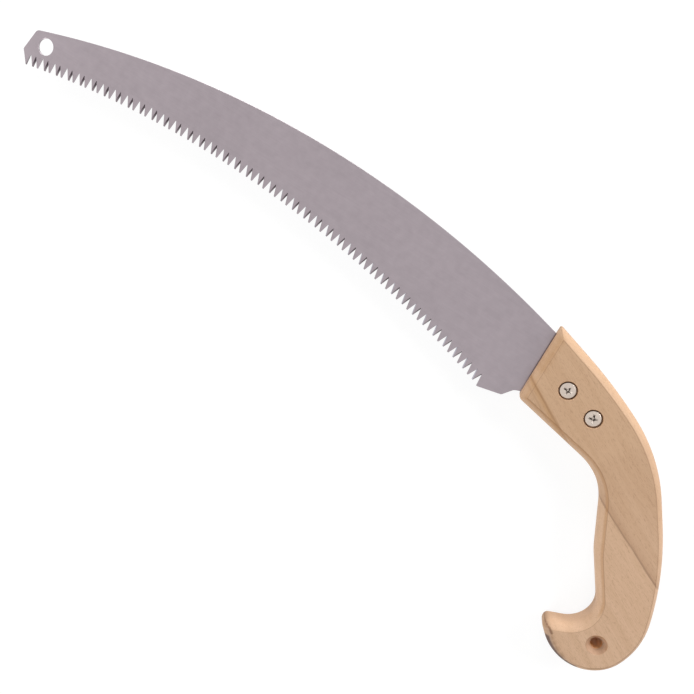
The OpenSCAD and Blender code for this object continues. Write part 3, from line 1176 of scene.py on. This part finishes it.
def handle_shadow_line(tree, colour):
    """A painted shadow line along the handle's front end, fainter towards the teeth."""
    top, low = Vector(HANDLE_CORNERS[0][:2]), Vector(HANDLE_CORNERS[-1][:2])
    along = (low - top).normalized()
    outward = Vector((along.y, -along.x, 0))
    here = millimetres(tree)
    gap = math(tree, "SUBTRACT", dot(tree, here, outward), outward.dot(top.to_3d()))
    # Painted shadow of the handle's front end on the plate
    line = ramp(tree, gap, 0.2, 1.0, 1.0, 0.0)
    y = put(tree, "SeparateXYZ", {"Vector": here}).outputs["Y"]
    line = times(tree, line, ramp(tree, y, 24.0, 38.0, 0.3, 1.0))
    return tinted(tree, colour, line, 0.66, PAINTED_HANDLE_SHADOW)


# %% [markdown]
# The plate's grey then varies a little from patch to patch and from line to line, and the lines
# are slightly rougher than the metal between them. The fasteners are bright zinc, darkened by
# painted shade on the steep walls of their recesses.

# %% Steel materials
SOFT_GREY = linear(160, 150, 155)
ZINC = linear(204, 191, 180)
RECESS_PAINTED_SHADE = linear(104, 100, 100)
ALONG_PLATE = radians(-14)


def blade_material():
    material, tree, shader = new_material("polished_carbon_steel")
    here = millimetres(tree, ALONG_PLATE)
    lines = place(tree, lines_group, Vector=here, Length=26.0, Width=0.5)["Lines"]
    patches = place(tree, mottle_group, Vector=here, Size=5.0, Amount=0.1)["Shade"]
    broad = place(tree, mottle_group, Vector=here, Size=45.0, Amount=0.06)["Shade"]
    streak = times(tree, math(tree, "SUBTRACT", lines, 0.5), 0.14)
    level = math(tree, "ADD", times(tree, patches, broad), streak)
    colour = mix(tree, 1.0, SOFT_GREY, level, "MULTIPLY")
    feed(tree, shader, {
        "Base Color": handle_shadow_line(tree, flank_reflections(tree, colour)),
        "Roughness": math(tree, "ADD", times(tree, lines, 0.16), 0.3),
        "Normal": bump(tree, 0.12, 0.05 * MM, lines),
        "Metallic": 1.0,
    })
    return material


def zinc_material():
    material, tree, shader = new_material("bright_zinc")
    patches = place(tree, mottle_group, Vector=millimetres(tree), Size=1.4, Amount=0.12)["Shade"]
    colour = mix(tree, 1.0, ZINC, patches, "MULTIPLY")
    level = put(tree, "SeparateXYZ", {"Vector": facing(tree)}).outputs["Z"]
    # Painted shade on steep faces: the walls of the recesses and the rims of the heads
    steep = ramp(tree, math(tree, "ABSOLUTE", level), 0.92, 0.6)
    feed(tree, shader, {
        "Base Color": tinted(tree, colour, steep, 0.75, RECESS_PAINTED_SHADE),
        "Roughness": times(tree, patches, 0.3),
        "Metallic": 1.0,
    })
    return material


dress(blade, blade_material())
zinc = zinc_material()
for piece in fasteners:
    dress(piece, zinc)
print("plate nodes:", len(blade.data.materials[0].node_tree.nodes))

# %% [markdown]
# ## The stage
# The saw lies on a pale table under soft studio light. The table and the sky around it are
# white to the camera and in mirrors, and shed little light of their own. Steel so mirrors a
# white studio and comes out at about the colour that it was given. To the camera the table
# keeps a faint shadow under the saw, and is white far away.

# %% Floor and world
TABLE_REACH = 4.0
UNDER_SAW = 0.0003
PALE = (0.8, 0.8, 0.8, 1)
WHITE = (1, 1, 1, 1)
AMBIENT = 0.18
TABLE_GLOW = 1.12


def sees_white(tree):
    """1 for rays from the camera and for mirrored or refracted ones, and 0 for the rest."""
    path = put(tree, "LightPath").outputs
    direct = math(tree, "MAXIMUM", path["Is Camera Ray"], path["Is Glossy Ray"])
    return math(tree, "MAXIMUM", direct, path["Is Transmission Ray"])


def mixed(tree, share, first, second):
    """Mix two shaders."""
    shaders = {0: share, 1: first.outputs[0], 2: second.outputs[0]}
    return put(tree, "MixShader", shaders).outputs[0]


def stage_material():
    material, tree = empty_material("white_table")
    plain = put(tree, "BsdfDiffuse", {"Color": PALE})
    white = put(tree, "Emission", {"Color": WHITE, "Strength": TABLE_GLOW})
    here = put(tree, "NewGeometry").outputs["Position"]
    away = put(tree, "VectorMath", {0: here}, operation="LENGTH").outputs["Value"]
    share = times(tree, sees_white(tree), ramp(tree, away, 0.3, 1.0, 0.78, 1.0))
    put(tree, "OutputMaterial", {"Surface": mixed(tree, share, plain, white)})
    return material


table_mesh = bpy.data.meshes.new("table")
corners = [(-1, -1), (1, -1), (1, 1), (-1, 1)]
table_points = [(x * TABLE_REACH, y * TABLE_REACH, 0) for x, y in corners]
table_mesh.from_pydata(table_points, [], [(0, 1, 2, 3)])
table = new_object("table", table_mesh)
table.location.z = -UNDER_SAW
dress(table, stage_material())

world = bpy.data.worlds.new("studio")
world.use_nodes = True
tree = world.node_tree
tree.nodes.clear()
dim = put(tree, "Background", {"Color": WHITE, "Strength": AMBIENT})
white = put(tree, "Background", {"Color": WHITE, "Strength": 1.0})
put(tree, "OutputWorld", {"Surface": mixed(tree, sees_white(tree), dim, white)})
bpy.context.scene.world = world
print("table", 2 * TABLE_REACH, "m across, ambient light", AMBIENT)

# %% [markdown]
# Four lamps stand low around the saw, and the strongest is beyond its back, so the rounded
# edge there is lighter than the flat face. A wide roof lamp lights the flat faces. It is kept
# out of mirrors, because the white studio already fills them.

# %% Lamps
LOW_AWAY = 1.3
LOW_SIZE = 0.8
ROOF_AWAY = 1.1
ROOF_SIZE = 1.78
saw_centre = (Vector(cad_box[0]) + Vector(cad_box[1])) / 2


def towards(azimuth, elevation):
    """A unit vector that points up and out from the saw."""
    a, e = radians(azimuth), radians(elevation)
    return Vector((cos(e) * cos(a), cos(e) * sin(a), sin(e)))


def lamp(name, azimuth, elevation, watts, away=LOW_AWAY, size=LOW_SIZE, mirrored=True):
    light = bpy.data.lights.new(name, "AREA")
    light.shape = "DISK"
    light.size = size
    light.energy = watts
    made = new_object(name, light)
    direction = towards(azimuth, elevation)
    made.location = saw_centre + direction * away
    made.rotation_euler = direction.to_track_quat("Z", "Y").to_euler()
    made.visible_glossy = mirrored
    print(f"{name}: {watts} W at {[round(x, 2) for x in made.location]}")


lamp("main", 62, 20, 13.5)
lamp("back left", 132, 16, 12)
lamp("front left", 200, 13, 4)
lamp("front", 278, 14, 10)
lamp("roof", 204, 88.5, 3.7, ROOF_AWAY, ROOF_SIZE, mirrored=False)

# %% [markdown]
# ## Camera
# The view is steep but not square on: the camera stands a little beyond the saw's back and is
# rolled so that the blade runs from the upper left to the lower right.

# %% Camera
AIM = Vector((12.8, -29.1, 9)) * MM
VIEW_DISTANCE = 0.419
VIEW_FROM = towards(82, 74.7)
UP_ON_TABLE = Vector((-1, 1, 0))
SENSOR = 36
LENS = 38.9
camera_data = bpy.data.cameras.new("camera")
camera_data.sensor_width = SENSOR
camera_data.lens = LENS
camera = new_object("camera", camera_data)
right = UP_ON_TABLE.cross(VIEW_FROM).normalized()
up = VIEW_FROM.cross(right)
turn = Matrix((right, up, VIEW_FROM)).transposed()
camera.matrix_world = Matrix.Translation(AIM + VIEW_FROM * VIEW_DISTANCE) @ turn.to_4x4()
bpy.context.scene.camera = camera
bpy.context.scene.view_settings.view_transform = "Standard"
print("camera at", [round(x, 3) for x in camera.matrix_world.translation])
